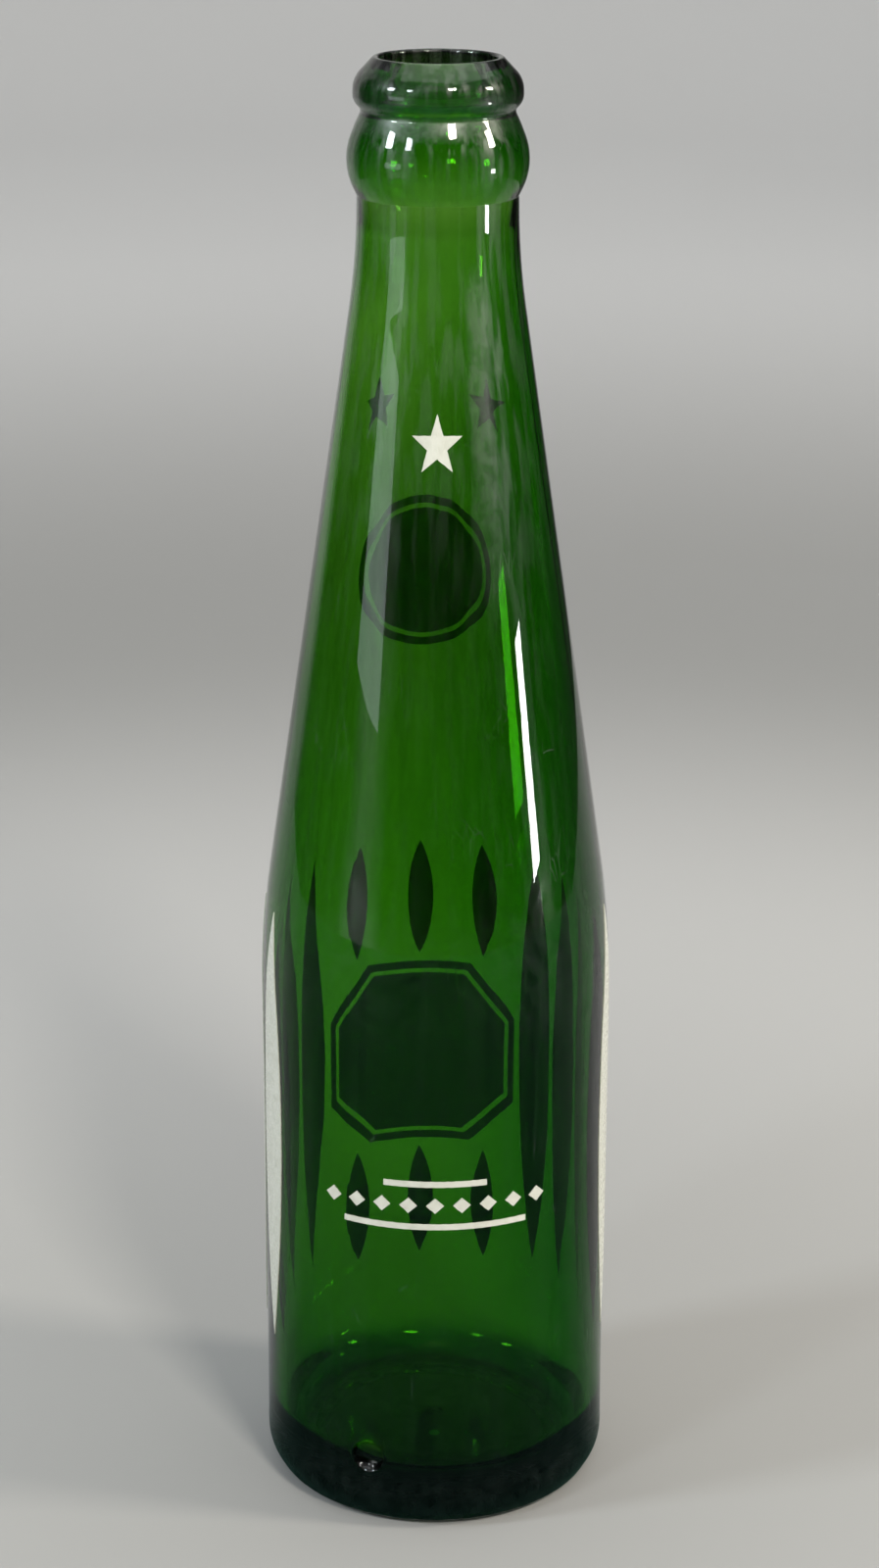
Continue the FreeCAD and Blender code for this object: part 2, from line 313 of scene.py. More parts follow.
def inner_corners(g):
    """Bore, hollow behind the bulge, inner cone, cavity and floor."""
    top = g.height
    throat = g.neck_radius - g.neck_wall
    cavity = g.body_radius - g.body_wall
    return [
        (g.bore_radius, top - MOUTH_JOIN_DEPTH, 0),
        (g.bore_radius, top - g.bore_depth, BORE_END_ROUND),
        (g.bulge_radius - g.bulge_wall, top - g.bulge_depth + HOLLOW_LIFT, HOLLOW_ROUND),
        (throat, top - g.collar_depth - THROAT_DROP, THROAT_ROUND),
        (throat, top - g.neck_depth - INNER_NECK_DROP, INNER_NECK_BEND),
        (cavity, g.body_height - INNER_BODY_DROP, INNER_SHOULDER_BEND),
        (cavity, g.floor_edge, FLOOR_ROUND),
        (0, g.floor_thickness, 0),
    ]


def wall_radius_table(g):
    """Heights and outer radii from the heel to the collar, for laying prints on the wall."""
    heel, collar = 4, 8
    points = profile(outer_corners(g)[heel:collar], 0.5 * MM)[1:]
    heights = np.array([p.y for p in points])
    radii = np.array([p.x for p in points])
    order = np.argsort(heights)
    return heights[order], radii[order]


# The glass


def grid_faces(rows, across, closed):
    """Four-sided faces of a grid of points, joined end to end where it is closed."""
    faces = []
    for i in range(rows - 1):
        for j in range(across if closed else across - 1):
            k = (j + 1) % across
            faces.append((i * across + j, i * across + k, (i + 1) * across + k, (i + 1) * across + j))
    return faces


def smooth_step(low, high, value):
    t = np.clip((value - low) / (high - low), 0, 1)
    return t * t * (3 - 2 * t)


def upright_waves(turn, height, strength):
    """Sum of a few waves round the wall that drift slowly with height."""
    total = np.zeros_like(turn)
    for k, count in enumerate((2, 3, 5, 8, 13, 19, 27)):
        phase = 2.4 * k + 6.0 * height * (1 + 0.6 * k) * (-1) ** k
        total += np.cos(count * turn + phase) / (1 + 0.45 * k)
    return strength * total / 3


class BOTTLE_OT_glass(bpy.types.Operator):
    """Lathes the glass, with waves inside its wall, mould seams and an air blister"""
    bl_idname = "bottle.glass"
    bl_label = "Glass"

    SEGMENTS = 320
    RING_SPACING = 1.2 * MM
    BLISTER_STEPS = 61
    BLISTER_BAND = 1.3
    BLISTER_LIP = 0.22
    BLISTER_LIP_REACH = 1.08
    BLISTER_LIP_WIDTH = 0.09
    SEAM_WIDTH = 0.5 * MM
    HEEL_SEAM_WIDTH = 0.6 * MM
    SEAM_FADE = 2 * MM
    WAVES_FROM = (10 * MM, 45 * MM)
    WAVES_END_DEPTHS = (20 * MM, 45 * MM)
    NECK_WAVES = 0.3
    NECK_WAVES_FROM = (140 * MM, 175 * MM)

    def execute(self, context):
        sizes = context.scene.bottle_glass
        flaws = context.scene.bottle_flaws
        band = self.BLISTER_BAND * flaws.blister_radius
        fine = (flaws.blister_level - band, flaws.blister_level + band)
        outer = profile(outer_corners(sizes), self.RING_SPACING, fine)
        inner = profile(inner_corners(sizes), self.RING_SPACING)[1:]
        mesh = self.lathe(outer + inner, len(outer), sizes, flaws)
        glass = bpy.data.objects.new("green_glass_bottle", mesh)
        context.scene.collection.objects.link(glass)
        mesh.materials.append(glass_material(context.scene.bottle_look))
        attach(glass, BODY)
        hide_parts(GLASS_NODE)
        return {"FINISHED"}

    def lathe(self, path, outer_count, sizes, flaws):
        """Closed mesh of the profile turned about the axis, with the flaws of blown glass."""
        turn = self.columns(sizes, flaws)
        count = len(turn)
        rings = path[1:-1]
        radius = np.array([p.x for p in rings])[:, None] * np.ones(count)
        height = np.array([p.y for p in rings])[:, None] * np.ones(count)
        turns = turn[None, :] * np.ones(radius.shape)
        inside = (np.arange(len(rings)) >= outer_count - 1)[:, None]
        livelier = 1 + self.NECK_WAVES * smooth_step(*self.NECK_WAVES_FROM, height)
        high, low = (sizes.height - depth for depth in self.WAVES_END_DEPTHS)
        cone = smooth_step(high, low, height) * smooth_step(*self.WAVES_FROM, height)
        radius += np.where(inside, upright_waves(turns, height, flaws.wave) * livelier * cone, 0)
        outside = self.seams(turns, height, sizes, flaws) - self.blister(turns, height, sizes, flaws)
        radius += np.where(inside, 0, outside)
        lean = np.where(inside, flaws.lean * cone, 0)
        x = radius * np.sin(turns) - lean
        y = -radius * np.cos(turns)
        vertices = np.stack([x, y, height], -1).reshape(-1, 3).tolist()
        faces = grid_faces(len(rings), count, True)
        last = (len(rings) - 1) * count
        for pole, start in ((path[0], 0), (path[-1], last)):
            vertices.append((0, 0, pole.y))
            centre = len(vertices) - 1
            for j in range(count):
                face = (start + j, start + (j + 1) % count, centre)
                faces.append(face[::-1] if start == 0 else face)
        mesh = bpy.data.meshes.new("green_glass_bottle")
        mesh.from_pydata(vertices, [], faces)
        mesh.polygons.foreach_set("use_smooth", [True] * len(mesh.polygons))
        return mesh

    def columns(self, sizes, flaws):
        """Turns of the mesh's columns, closer together at the blister."""
        reach = self.BLISTER_BAND * flaws.blister_radius / sizes.body_radius
        rest = np.linspace(reach, 2 * math.pi - reach, self.SEGMENTS)
        close = np.linspace(-reach, reach, self.BLISTER_STEPS)[1:-1]
        return np.sort((flaws.blister_angle + np.concatenate([close, rest])) % (2 * math.pi))

    def seams(self, turns, height, sizes, flaws):
        """Two upright mould seams at the sides and one round the heel."""
        side = np.minimum(np.abs(turns - math.pi / 2), np.abs(turns - 3 * math.pi / 2)) * sizes.body_radius
        low = flaws.heel_seam_level
        high = sizes.height - sizes.collar_depth
        upright = np.exp(-(side / self.SEAM_WIDTH) ** 2)
        upright *= smooth_step(low, low + self.SEAM_FADE, height)
        upright *= smooth_step(high, high - self.SEAM_FADE, height)
        heel = np.exp(-((height - low) / self.HEEL_SEAM_WIDTH) ** 2)
        return flaws.seam_height * np.maximum(upright, heel)

    def blister(self, turns, height, sizes, flaws):
        """Depth of the open blister, a round crater with a steep rim and a low lip round it."""
        around = (turns - flaws.blister_angle + math.pi) % (2 * math.pi) - math.pi
        away = np.hypot(around * sizes.body_radius, height - flaws.blister_level)
        reach = away / flaws.blister_radius
        lip = self.BLISTER_LIP * np.exp(-((reach - self.BLISTER_LIP_REACH) / self.BLISTER_LIP_WIDTH) ** 2)
        return flaws.blister_depth * (np.sqrt(np.clip(1 - reach ** 2, 0, 1)) - lip)


# The enamel prints


class PrintLayer:
    """Lays flat outlines of (arc length, height) on the round wall as thin solids of enamel."""

    EDGE_STEP = 0.6 * MM
    CELL_SIZES = (0.8 * MM, 3.0 * MM)

    def __init__(self, context):
        self.scene = context.scene
        self.sizes = context.scene.bottle_prints
        self.heights, self.radii = wall_radius_table(context.scene.bottle_glass)
        self.material = enamel_material(context.scene.bottle_look)

    def radius(self, height):
        return float(np.interp(height, self.heights, self.radii))

    def ragged(self, loop, seed):
        """The outline with points close together and a slightly uneven edge."""
        dense = []
        for (s0, z0), (s1, z1) in zip(loop, loop[1:] + loop[:1]):
            steps = max(1, math.ceil(math.hypot(s1 - s0, z1 - z0) / self.EDGE_STEP))
            dense += [(s0 + (s1 - s0) * i / steps, z0 + (z1 - z0) * i / steps) for i in range(steps)]
        out = []
        for s, z in dense:
            wobble = math.sin(2900 * s + 1.7 * seed) * math.sin(2300 * z + 2.9 * seed)
            wobble += 0.6 * math.sin(6100 * s - 5300 * z + seed)
            shift = 0.5 * self.sizes.ragged * wobble
            out.append((s + shift, z + shift))
        return out

    def add(self, node, loop, turn, hole=None):
        """Prints one outline, with or without a hole, at a turn from the front."""
        seed = sum(ord(c) for c in node) % 37
        flat = bmesh.new()
        outer = [flat.verts.new((s, z, 0)) for s, z in self.ragged(loop, seed)]
        if hole:
            inner = [flat.verts.new((s, z, 0)) for s, z in self.matched(hole, len(outer))]
            for i in range(len(outer)):
                j = (i + 1) % len(outer)
                flat.faces.new((outer[i], outer[j], inner[j], inner[i]))
        else:
            flat.faces.new(outer)
            self.cut_into_cells(flat)
        self.solidify(flat, turn)
        mesh = bpy.data.meshes.new("enamel_" + node)
        flat.to_mesh(mesh)
        flat.free()
        mesh.materials.append(self.material)
        piece = bpy.data.objects.new("enamel_" + node, mesh)
        self.scene.collection.objects.link(piece)
        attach(piece, BODY)
        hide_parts(node)

    def matched(self, loop, count):
        """The loop's points spread over as many places as its outer loop has."""
        total = 0
        marks = [0]
        closed = loop + loop[:1]
        for (s0, z0), (s1, z1) in zip(closed, closed[1:]):
            total += math.hypot(s1 - s0, z1 - z0)
            marks.append(total)
        places = np.linspace(0, total, count, endpoint=False)
        s = np.interp(places, marks, [p[0] for p in closed])
        z = np.interp(places, marks, [p[1] for p in closed])
        return list(zip(s.tolist(), z.tolist()))

    def cut_into_cells(self, flat):
        """Cuts the face along even lines, so that it can follow the round wall."""
        for axis, spacing in enumerate(self.CELL_SIZES):
            values = [v.co[axis] for v in flat.verts]
            first = math.ceil(min(values) / spacing)
            last = math.floor(max(values) / spacing)
            for k in range(first, last + 1):
                point = [0, 0, 0]
                point[axis] = k * spacing
                normal = [0, 0, 0]
                normal[axis] = 1
                parts = flat.verts[:] + flat.edges[:] + flat.faces[:]
                bmesh.ops.bisect_plane(flat, geom=parts, plane_co=point, plane_no=normal, dist=1e-7)

    def solidify(self, flat, turn):
        """Wraps the cells on the wall, with a back sunk into the glass and upright edges."""
        bmesh.ops.recalc_face_normals(flat, faces=flat.faces[:])
        made = bmesh.ops.extrude_face_region(flat, geom=flat.faces[:])
        front = {e for e in made["geom"] if isinstance(e, bmesh.types.BMVert)}
        for v in flat.verts:
            arc, height = v.co.x, v.co.y
            wall = self.radius(height)
            depth = self.sizes.enamel if v in front else -self.sizes.sink
            around = turn + arc / wall
            reach = wall + depth
            v.co = Vector((reach * math.sin(around), -reach * math.cos(around), height))
        bmesh.ops.recalc_face_normals(flat, faces=flat.faces[:])


def petal_loop(width, bottom, top, steps=40):
    """Two arcs that meet in points."""
    half = (top - bottom) / 2
    bow = (half * half + width * width / 4) / width
    right = []
    for i in range(steps):
        z = half * (2 * i / steps - 1)
        right.append((math.sqrt(bow * bow - z * z) - bow + width / 2, bottom + half + z))
    left = [(-s, bottom + top - z) for s, z in right]
    return right + left


class BOTTLE_OT_stars(bpy.types.Operator):
    """Prints the three plain stars round the neck"""
    bl_idname = "bottle.stars"
    bl_label = "Stars"

    def execute(self, context):
        p = context.scene.bottle_prints
        layer = PrintLayer(context)
        half_width = p.star_width / 2 / math.sin(math.radians(72))
        half_height = p.star_height / (1 + math.cos(math.radians(36)))
        loop = []
        for i in range(10):
            turn = math.radians(36 * i)
            reach = p.star_waist if i % 2 else 1.0
            height = p.star_level + reach * half_height * math.cos(turn)
            loop.append((reach * half_width * math.sin(turn), height))
        for node, turn in (("front_star", 0), ("right_star", p.star_spread), ("left_star", -p.star_spread)):
            layer.add(node, loop, turn)
        return {"FINISHED"}


class BOTTLE_OT_petals(bpy.types.Operator):
    """Prints the tall petals round the sides and the short ones above and below the plate"""
    bl_idname = "bottle.petals"
    bl_label = "Petals"

    PER_SIDE = 4
    SHORT = 3

    def execute(self, context):
        p = context.scene.bottle_prints
        body = context.scene.bottle_glass.body_radius
        layer = PrintLayer(context)
        back = math.pi + p.turn
        room = body * p.petal_side - p.plate_width / 2
        width = (room - self.PER_SIDE * p.gap) / (self.PER_SIDE - 0.5)
        step = (width + p.gap) / body
        tall = petal_loop(width, p.petal_bottom, p.petal_top)
        node = 0
        for side in (-1, 1):
            for i in range(self.PER_SIDE):
                node += 1
                layer.add(f"petal_{node}", tall, back + side * (p.petal_side - i * step))
        short_step = p.plate_width / self.SHORT / body
        rows = {"upper_petal": p.plate_top + p.gap, "lower_petal": p.plate_bottom - p.gap - p.short_length}
        for name, bottom in rows.items():
            short = petal_loop(p.short_width, bottom, bottom + p.short_length, steps=20)
            for i in range(self.SHORT):
                layer.add(f"{name}_{i + 1}", short, back + (i - (self.SHORT - 1) / 2) * short_step)
        return {"FINISHED"}


class BOTTLE_OT_plates(bpy.types.Operator):
    """Prints the blank plate and roundel on the back, each with its frame"""
    bl_idname = "bottle.plates"
    bl_label = "Plate and roundel"

    def plate(self, p, inset):
        side = p.plate_width / 2 - inset
        cut = p.plate_cut - inset * math.tan(math.radians(22.5))
        low = p.plate_bottom + inset
        high = p.plate_top - inset
        right = [(side - cut, low), (side, low + cut), (side, high - cut), (side - cut, high)]
        return right + [(-s, z) for s, z in reversed(right)]

    def roundel(self, p, inset, steps=72):
        half = p.roundel_size / 2 - inset
        turns = [2 * math.pi * i / steps for i in range(steps)]
        return [(half * math.cos(a), p.roundel_level + half * math.sin(a)) for a in turns]

    def execute(self, context):
        p = context.scene.bottle_prints
        layer = PrintLayer(context)
        back = math.pi + p.turn
        field = p.frame_width + p.frame_line
        for name, outline in (("plate", self.plate), ("roundel", self.roundel)):
            layer.add(name + "_frame", outline(p, 0), back, hole=outline(p, p.frame_width))
            layer.add(name + "_field", outline(p, field), back)
        return {"FINISHED"}


class BOTTLE_OT_ornament(bpy.types.Operator):
    """Prints the row of lozenges between two rules on the front"""
    bl_idname = "bottle.ornament"
    bl_label = "Front ornament"

    LOZENGES = 9

    def execute(self, context):
        p = context.scene.bottle_prints
        body = context.scene.bottle_glass.body_radius
        layer = PrintLayer(context)
        for node, size, side in (("upper_rule", p.upper_rule, 1), ("lower_rule", p.lower_rule, -1)):
            level = p.lozenge_level + side * p.rule_spacing
            rise = p.rule_height / 2
            half = size / 2
            loop = [(s * half, level + z * rise) for s, z in ((-1, -1), (1, -1), (1, 1), (-1, 1))]
            layer.add(node, loop, 0)
        half = p.lozenge_width / 2
        rise = p.lozenge_height / 2
        loop = [(x, p.lozenge_level + z) for x, z in ((0, -rise), (half, 0), (0, rise), (-half, 0))]
        for i in range(self.LOZENGES):
            arc = (i - (self.LOZENGES - 1) / 2) * (p.lozenge_width + p.gap)
            layer.add(f"lozenge_{i + 1}", loop, arc / body)
        return {"FINISHED"}


# Materials


class NodeMaker:
    """Short ways to add and join nodes in one tree."""

    # Places of a Mix node's two colours and its mixed colour among its sockets
    FIRST_COLOUR, SECOND_COLOUR, MIXED_COLOUR = 6, 7, 2

    def __init__(self, tree):
        self.nodes = tree.nodes
        self.links = tree.links

    def add(self, kind, *values, **settings):
        """A node with settings, whose first inputs take values or other nodes' sockets."""
        node = self.nodes.new("ShaderNode" + kind)
        for name, value in settings.items():
            setattr(node, name, value)
        for socket, value in zip(node.inputs, values):
            self.put(socket, value)
        return node

    def put(self, socket, value):
        if isinstance(value, bpy.types.NodeSocket):
            self.links.new(value, socket)
        else:
            socket.default_value = value

    def feed(self, node, values):
        """Sets or joins a node's inputs by name."""
        for name, value in values.items():
            self.put(node.inputs[name], value)

    def math(self, operation, *values, clamp=False):
        return self.add("Math", *values, operation=operation, use_clamp=clamp).outputs[0]

    def both(self, first, second):
        return self.math("MULTIPLY", first, second)

    def scaled(self, value, factor, plus):
        return self.math("MULTIPLY_ADD", value, factor, plus)

    def spread(self, value, low, high, start=0.0, end=1.0):
        """Smooth step of a value from low..high to start..end."""
        node = self.add("MapRange", value, low, high, start, end, interpolation_type="SMOOTHSTEP")
        return node.outputs["Result"]

    def turn(self, axes):
        """Turn about the upright axis, from the front."""
        return self.math("ARCTAN2", axes.outputs["X"], self.both(axes.outputs["Y"], -1.0))

    def noise(self, place, scale, detail=4.0, rough=0.55):
        node = self.add("TexNoise")
        self.feed(node, {"Vector": place, "Scale": scale, "Detail": detail, "Roughness": rough})
        return node.outputs["Fac"]

    def stretched(self, place, scale, turn=(0, 0, 0)):
        node = self.add("Mapping")
        self.feed(node, {"Vector": place, "Scale": scale, "Rotation": turn})
        return node.outputs["Vector"]

    def mix(self, factor, first, second):
        """Colour between two colours, by a factor."""
        node = self.add("Mix", factor, data_type="RGBA")
        self.put(node.inputs[self.FIRST_COLOUR], (*first, 1))
        self.put(node.inputs[self.SECOND_COLOUR], (*second, 1))
        return node.outputs[self.MIXED_COLOUR]

    def bump(self, height, strength, distance):
        node = self.add("Bump")
        self.feed(node, {"Height": height, "Strength": strength, "Distance": distance})
        return node.outputs["Normal"]


def new_material(name):
    """A material, its shader and a maker for its nodes."""
    material = bpy.data.materials.new(name)
    material.use_nodes = True
    return material, material.node_tree.nodes["Principled BSDF"], NodeMaker(material.node_tree)


def wear_group():
    """Shared marks of handling: fine scratches, specks and patchy grime, by place on the object."""
    found = bpy.data.node_groups.get("handling_wear")
    if found:
        return found
    group = bpy.data.node_groups.new("handling_wear", "ShaderNodeTree")
    for name, kind in (("Place", "NodeSocketVector"), ("Scratch Scale", "NodeSocketFloat"),
                       ("Speck Scale", "NodeSocketFloat"), ("Grime Scale", "NodeSocketFloat")):
        group.interface.new_socket(name, in_out="INPUT", socket_type=kind)
    for name in ("Scratches", "Specks", "Grime"):
        group.interface.new_socket(name, in_out="OUTPUT", socket_type="NodeSocketFloat")
    make = NodeMaker(group)
    given = group.nodes.new("NodeGroupInput")
    result = group.nodes.new("NodeGroupOutput")
    place = given.outputs["Place"]
    bent = make.add("VectorMath", place, make.noise(place, 60.0), operation="ADD")
    lines = []
    for scale, turn in (((1, 1, 0.05), (0.2, 0.1, 0)), ((1, 1, 0.06), (0.9, 0.6, 0.4))):
        cells = make.add("TexVoronoi", feature="DISTANCE_TO_EDGE")
        lengthened = make.stretched(place, scale, turn)
        make.feed(cells, {"Vector": lengthened, "Scale": given.outputs["Scratch Scale"]})
        lines.append(make.spread(cells.outputs["Distance"], 0.0, 0.012, 1.0, 0.0))
    some = make.math("MAXIMUM", *lines)
    where = make.spread(make.noise(place, 140.0), 0.54, 0.68)
    dots = make.add("TexVoronoi")
    make.feed(dots, {"Vector": bent.outputs["Vector"], "Scale": given.outputs["Speck Scale"]})
    near = make.spread(dots.outputs["Distance"], 0.05, 0.14, 1.0, 0.0)
    tint = make.add("SeparateColor", dots.outputs["Color"])
    chosen = make.spread(tint.outputs["Red"], 0.72, 0.76)
    patches = make.noise(place, given.outputs["Grime Scale"], 4.0, 0.65)
    make.feed(result, {
        "Scratches": make.both(some, where),
        "Specks": make.both(near, chosen),
        "Grime": make.spread(patches, 0.38, 0.66),
    })
    return group


def wear_nodes(make, place, scratch_scale, speck_scale, grime_scale):
    node = make.add("Group", place, scratch_scale, speck_scale, grime_scale, node_tree=wear_group())
    return node.outputs["Scratches"], node.outputs["Specks"], node.outputs["Grime"]


def glass_material(look):
    """Green glass with a dry haze round the finish, streaks down the neck, a painted sheen band on the
    neck, scuffs and fine scratches.
    """
    material, shader, make = new_material("green_glass")
    place = make.add("TexCoord").outputs["Object"]
    axes = make.add("SeparateXYZ", place)
    level = axes.outputs["Z"]
    scratches, specks, grime = wear_nodes(make, place, 420.0, 700.0, 420.0)
    finish = make.both(make.spread(level, *FINISH_FROM), make.spread(level, *FINISH_TO, 1.0, 0.12))
    haze = make.both(finish, make.scaled(grime, 0.5, 0.25))
    neck = make.both(make.spread(level, *NECK_FROM), make.math("SUBTRACT", 1.0, finish))
    # Painted sheen: a patchy coat band on the neck at a fixed turn, standing in for a soft reflection
    aside = make.math("ABSOLUTE", make.math("SUBTRACT", make.turn(axes), SHEEN_BAND_TURN))
    band = make.both(make.spread(aside, 0.06, 0.17, 1.0, 0.0), make.spread(level, *SHEEN_BAND_TO))
    painted_sheen_band = make.both(make.both(band, neck), make.scaled(grime, 0.7, 0.5))
    streaks = make.spread(make.noise(make.stretched(place, (1, 1, 0.03)), 650.0, 3.0), 0.44, 0.64)
    film_and_sheen = make.scaled(make.scaled(neck, 0.4, 0.07), streaks, painted_sheen_band)
    shoulder = make.both(make.spread(level, *SHOULDER_FROM), make.spread(level, *SHOULDER_TO))
    heel = make.spread(level, *HEEL_TO)
    scuffs = make.both(make.scaled(shoulder, 0.12, make.both(heel, 0.3)), grime)
    marks = make.scaled(specks, 0.9, make.both(scratches, 0.7))
    # Coat weight from the dust haze, the neck streaks, the painted sheen band, scuffs and marks
    veil_and_sheen = make.math("ADD", make.math("ADD", haze, film_and_sheen), make.math("ADD", scuffs, marks), clamp=True)
    drawn = make.noise(make.stretched(place, (1, 1, 0.018), (0, 0, 0.7)), 330.0, 3.0, 0.6)
    cone = make.both(make.spread(level, *CONE_FROM), make.spread(level, *CONE_TO))
    depth = make.both(make.spread(drawn, 0.40, 0.66), make.scaled(cone, 0.85, 0.15))
    peel = make.noise(make.stretched(place, (1, 1, 0.3)), 160.0, 2.0)
    make.feed(shader, {
        "Base Color": make.mix(depth, (1, 1, 1), look.streak),
        "Metallic": 0,
        "Roughness": make.scaled(haze, 0.10, make.both(marks, 0.25)),
        "IOR": look.index,
        "Transmission Weight": 1,
        "Coat Weight": veil_and_sheen,
        "Coat Roughness": 0.42,
        "Coat IOR": 2.2,
        "Normal": make.bump(peel, 0.12, 0.1 * MM),
    })
    absorption = make.add("VolumeAbsorption", (*look.clear, 1), look.density)
    make.put(make.nodes["Material Output"].inputs["Volume"], absorption.outputs["Volume"])
    return material


def enamel_material(look):
    """White enamel, slightly stained, with pinholes and hairline scratches."""
    found = bpy.data.materials.get("white_enamel_fired")
    if found:
        return found
    material, shader, make = new_material("white_enamel_fired")
    place = make.add("TexCoord").outputs["Object"]
    scratches, specks, grime = wear_nodes(make, place, 600.0, 1600.0, 700.0)
    worn = make.math("MULTIPLY_ADD", grime, 0.45, make.scaled(specks, 0.9, scratches), clamp=True)
    grain = make.scaled(worn, -0.6, make.noise(place, 1500.0))
    make.feed(shader, {
        "Base Color": make.mix(worn, look.enamel, look.enamel_worn),
        "Roughness": make.spread(worn, 0.0, 1.0, 0.26, 0.5),
        "Normal": make.bump(grain, 0.25, 0.05 * MM),
    })
    return material


def painted_light_paper_material(look):
    """Grey paper with painted light and shade: its tone drifts with the distance from the bottle, darker
    round it and in a dim band, paler a little way off and far off.
    """
    material, shader, make = new_material("grey_paper_painted_light")
    place = make.add("TexCoord").outputs["Object"]
    flat = make.add("VectorMath", place, (1, 1, 0), operation="MULTIPLY")
    away = make.add("VectorMath", flat.outputs["Vector"], operation="LENGTH")
    reach = make.add("MapRange", away.outputs["Value"], 0.0, look.cove_radius)
    tone = make.add("ValToRGB", reach.outputs["Result"])
    ramp = tone.color_ramp
    ramp.interpolation = "EASE"
    # Painted light and shade by distance: darker round the bottle, paler a little way off, a dim band, then
    # paler far off
    steps = ((0.05, look.paper), (0.27, look.paper_painted_light), (0.5, look.paper_painted_shade), (1.2, look.paper_far_painted_light))
    for i, (distance, tint) in enumerate(steps):
        stop = ramp.elements[i] if i < 2 else ramp.elements.new(1)
        stop.position = distance / look.cove_radius
        stop.color = (*tint, 1)
    make.feed(shader, {"Base Color": tone.outputs["Color"], "Roughness": 0.9})
    return material


def card_material(name, turns, soft, dark):
    """Black card, a painted dark reflection that only reflections show, which pales over a soft stretch at
    each of its ends.
    """
    material, shader, make = new_material(name)
    turn = make.turn(make.add("SeparateXYZ", make.add("TexCoord").outputs["Object"]))
    first, last, stretch = (math.radians(a) for a in (*turns, soft))
    left = make.spread(turn, first, first + stretch, 1.0, 0.0)
    right = make.spread(turn, last - stretch, last, 0.0, 1.0)
    pale = make.math("MAXIMUM", left, right)
    make.feed(shader, {"Base Color": make.mix(pale, dark, (0.45, 0.45, 0.45)), "Roughness": 1})
    return material


# The stage


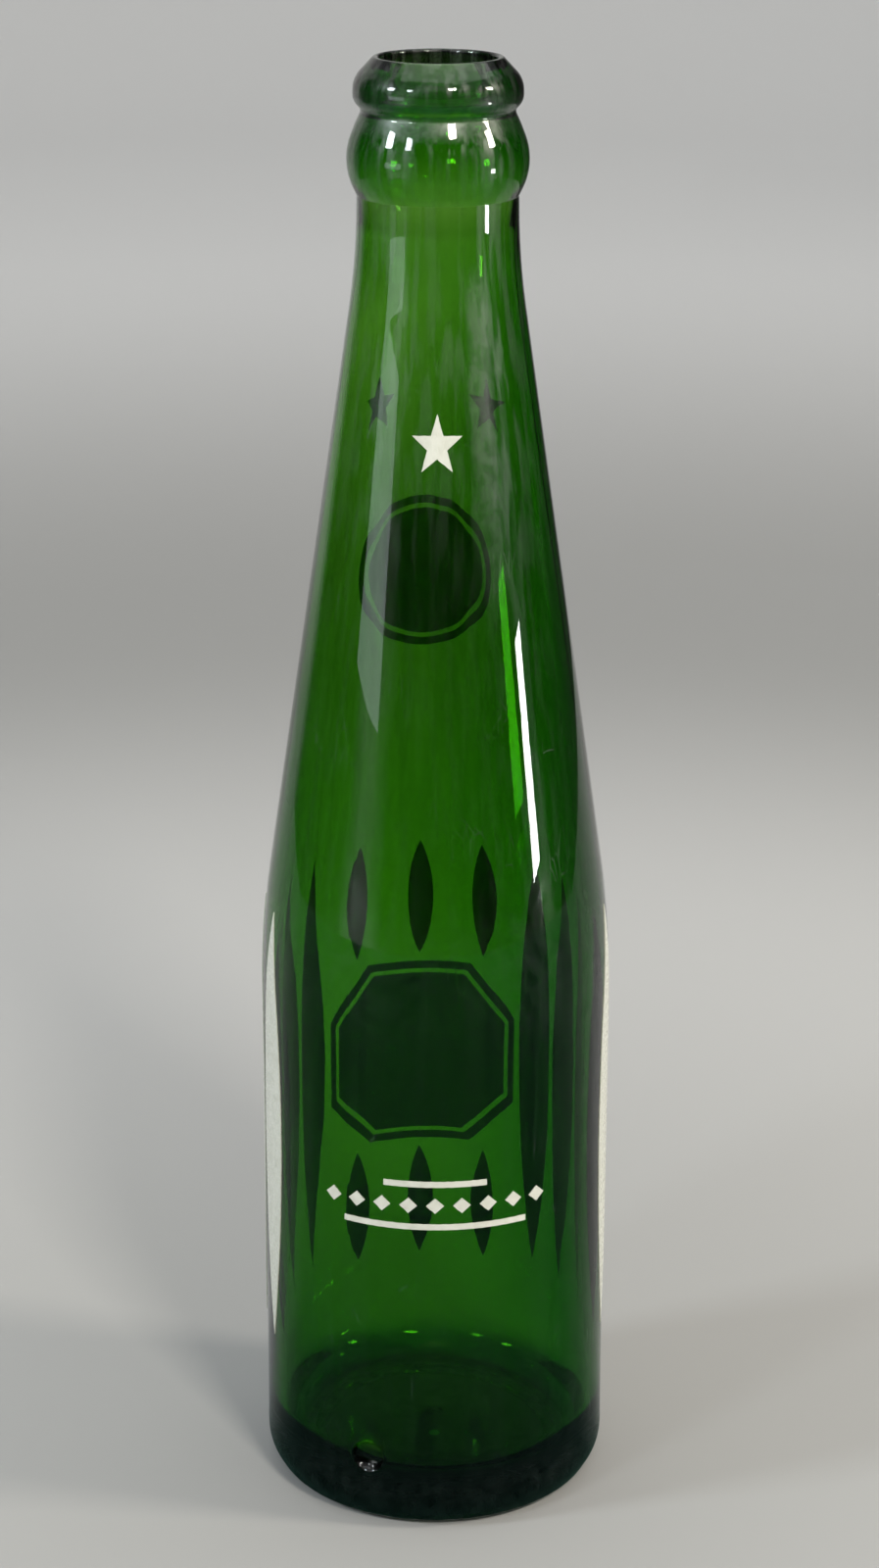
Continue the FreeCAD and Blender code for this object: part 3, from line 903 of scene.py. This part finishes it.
class BOTTLE_OT_stage(bpy.types.Operator):
    """Sets up the paper cove with its painted light and shade, the black cards that paint dark reflections,
    the lamps, the room's light and the camera
    """
    bl_idname = "bottle.stage"
    bl_label = "Stage"

    BEND_STEPS = 16
    ROUND_STEPS = 96
    CARD_STEPS = 26
    CARD_LIFT = 0.2 * MM
    CARD_REACH = 0.95
    CARD_RISE = 0.75
    BLACK = (0.008, 0.008, 0.008)
    # Each card's first and last turn from the front, the turn over which its ends pale, and its colour
    CARDS = (
        # The near card's dark teal is painted contact shade: the shaded paper round the foot as the heel
        # reflects it
        ("near", (-150, 150), 75, (0.015, 0.06, 0.045)),
        ("front", (-46, 84), 12, BLACK),
        ("left", (-132, -58), 12, BLACK),
        ("right", (72, 174), 16, BLACK),
    )
    WARM, COOL, WHITE = (1.0, 0.94, 0.85), (0.86, 0.94, 1.0), (1.0, 1.0, 1.0)
    # Each lamp's turn from the front and rise in degrees, distance, width, height, colour and power
    LAMPS = (
        ("key_lamp", 22, 42, 1.1, 0.17, 0.17, WARM, 5.6),
        ("right_lamp", 78, 31, 1.0, 0.15, 0.15, (1.0, 0.93, 0.82), 4.4),
        ("right_strip", 73, -4.6, 0.9, 0.10, 0.10, WHITE, 0.9),
        ("left_lamp", -70, 31, 1.0, 0.15, 0.15, COOL, 3.2),
        ("left_lamp_near", -41, 33, 1.0, 0.12, 0.12, COOL, 1.3),
        ("left_panel", -58, 2, 1.2, 0.5, 0.18, (0.86, 0.95, 1.0), 0.55),
        ("top_lamp", 160, 80, 2.1, 2.4, 2.4, WHITE, 16.9),
    )
    LAMP_TARGET = (0, 0, 0.13)
    ROOM_COLOUR = (0.95, 0.97, 1.0, 1)
    ROOM_STRENGTH = 0.22

    def execute(self, context):
        look = context.scene.bottle_stage
        self.cove(context, look)
        self.cards(context, look)
        self.lamps(context)
        self.room(context)
        self.camera(context, look)
        context.scene.view_settings.view_transform = "Standard"
        return {"FINISHED"}

    def sheet(self, context, name, line, turns, material, closed):
        """A sheet that turns a line of (radius, height) points about the axis."""
        rows = [[(r * math.sin(a), -r * math.cos(a), z) for a in turns] for r, z in line]
        mesh = bpy.data.meshes.new(name)
        mesh.from_pydata(sum(rows, []), [], grid_faces(len(rows), len(turns), closed))
        mesh.polygons.foreach_set("use_smooth", [True] * len(mesh.polygons))
        mesh.materials.append(material)
        made = bpy.data.objects.new(name, mesh)
        context.scene.collection.objects.link(made)
        return made

    def cove(self, context, look):
        """Floor and wall in one round sheet of paper."""
        bend = look.cove_bend
        flat = look.cove_radius - bend
        line = [(1 * MM, 0), (flat, 0)]
        for i in range(1, self.BEND_STEPS + 1):
            a = math.pi / 2 * i / self.BEND_STEPS
            line.append((flat + bend * math.sin(a), bend * (1 - math.cos(a))))
        line.append((look.cove_radius, look.cove_height))
        turns = [2 * math.pi * j / self.ROUND_STEPS for j in range(self.ROUND_STEPS)]
        self.sheet(context, "paper_cove", line, turns, painted_light_paper_material(look), True)

    def cards(self, context, look):
        """Dark cards round the bottle, which only its reflections show: painted dark reflections, and round
        the foot painted contact shade.
        """
        low = self.CARD_LIFT
        middle = look.card_middle
        far = self.CARD_REACH * (look.cove_radius - look.cove_bend)
        near_line = ((look.card_front, low), (middle, low))
        far_line = ((middle, low), (far, low), (far, self.CARD_RISE * look.cove_height))
        for place, ends, soft, dark in self.CARDS:
            name = "dark_reflection_card_" + place
            line = near_line if place == "near" else far_line
            turns = np.radians(np.linspace(*ends, self.CARD_STEPS)).tolist()
            card = self.sheet(context, name, line, turns, card_material(name, ends, soft, dark), False)
            # Hidden from camera, light and shadow rays: the cards are painted dark reflections in the glass
            card.visible_camera = False
            card.visible_diffuse = False
            card.visible_transmission = False
            card.visible_shadow = False

    def lamps(self, context):
        """Soft lamps that face the bottle."""
        for name, turn, rise, distance, wide, tall, tint, power in self.LAMPS:
            lamp = bpy.data.lights.new(name, "AREA")
            lamp.shape = "RECTANGLE"
            lamp.size = wide
            lamp.size_y = tall
            lamp.color = tint
            lamp.energy = power
            holder = bpy.data.objects.new(name, lamp)
            a, e = math.radians(turn), math.radians(rise)
            away = Vector((math.sin(a) * math.cos(e), -math.cos(a) * math.cos(e), math.sin(e)))
            holder.location = Vector(self.LAMP_TARGET) + away * distance
            holder.rotation_euler = away.to_track_quat("Z", "Y").to_euler()
            context.scene.collection.objects.link(holder)

    def room(self, context):
        """Dim, even light from all round."""
        world = bpy.data.worlds.new("room")
        world.use_nodes = True
        background = world.node_tree.nodes["Background"]
        background.inputs["Color"].default_value = self.ROOM_COLOUR
        background.inputs["Strength"].default_value = self.ROOM_STRENGTH
        context.scene.world = world

    def camera(self, context, look):
        """Camera in front of the bottle, tilted down to it."""
        lens = bpy.data.cameras.new("photo_camera")
        lens.sensor_fit = "AUTO"
        lens.sensor_width = 36
        lens.lens = look.focal_pixels * lens.sensor_width / IMAGE_HEIGHT
        lens.clip_start = 0.01
        holder = bpy.data.objects.new("photo_camera", lens)
        holder.location = (0, -look.camera_distance, look.camera_height)
        holder.rotation_euler = (math.pi / 2 - look.camera_pitch, look.camera_roll, 0)
        context.scene.collection.objects.link(holder)
        context.scene.camera = holder


class BOTTLE_PT_panel(bpy.types.Panel):
    """Lists the bottle's pieces and sizes"""
    bl_idname = "BOTTLE_PT_panel"
    bl_label = "Glass soda bottle"
    bl_space_type = "VIEW_3D"
    bl_region_type = "UI"
    bl_category = "Bottle"

    def draw(self, context):
        layout = self.layout
        for maker in MAKERS:
            layout.operator(maker.bl_idname)
        for name, kind in GROUPS.items():
            box = layout.box()
            for key in kind.__annotations__:
                box.prop(getattr(context.scene, name), key)


GROUPS = {
    "bottle_glass": BottleGlassSizes,
    "bottle_flaws": BottleGlassFlaws,
    "bottle_prints": BottlePrintSizes,
    "bottle_look": BottleLook,
    "bottle_stage": BottleStageLook,
}
MAKERS = (
    BOTTLE_OT_glass,
    BOTTLE_OT_stars,
    BOTTLE_OT_petals,
    BOTTLE_OT_plates,
    BOTTLE_OT_ornament,
    BOTTLE_OT_stage,
)


def register():
    for kind in (*GROUPS.values(), *MAKERS, BOTTLE_PT_panel):
        bpy.utils.register_class(kind)
    for name, kind in GROUPS.items():
        setattr(bpy.types.Scene, name, bpy.props.PointerProperty(type=kind))


def unregister():
    for name in GROUPS:
        delattr(bpy.types.Scene, name)
    for kind in reversed((*GROUPS.values(), *MAKERS, BOTTLE_PT_panel)):
        bpy.utils.unregister_class(kind)


def main():
    register()
    bpy.ops.bottle.glass()
    bpy.ops.bottle.stars()
    bpy.ops.bottle.petals()
    bpy.ops.bottle.plates()
    bpy.ops.bottle.ornament()
    bpy.ops.bottle.stage()


if __name__ == "__main__":
    main()
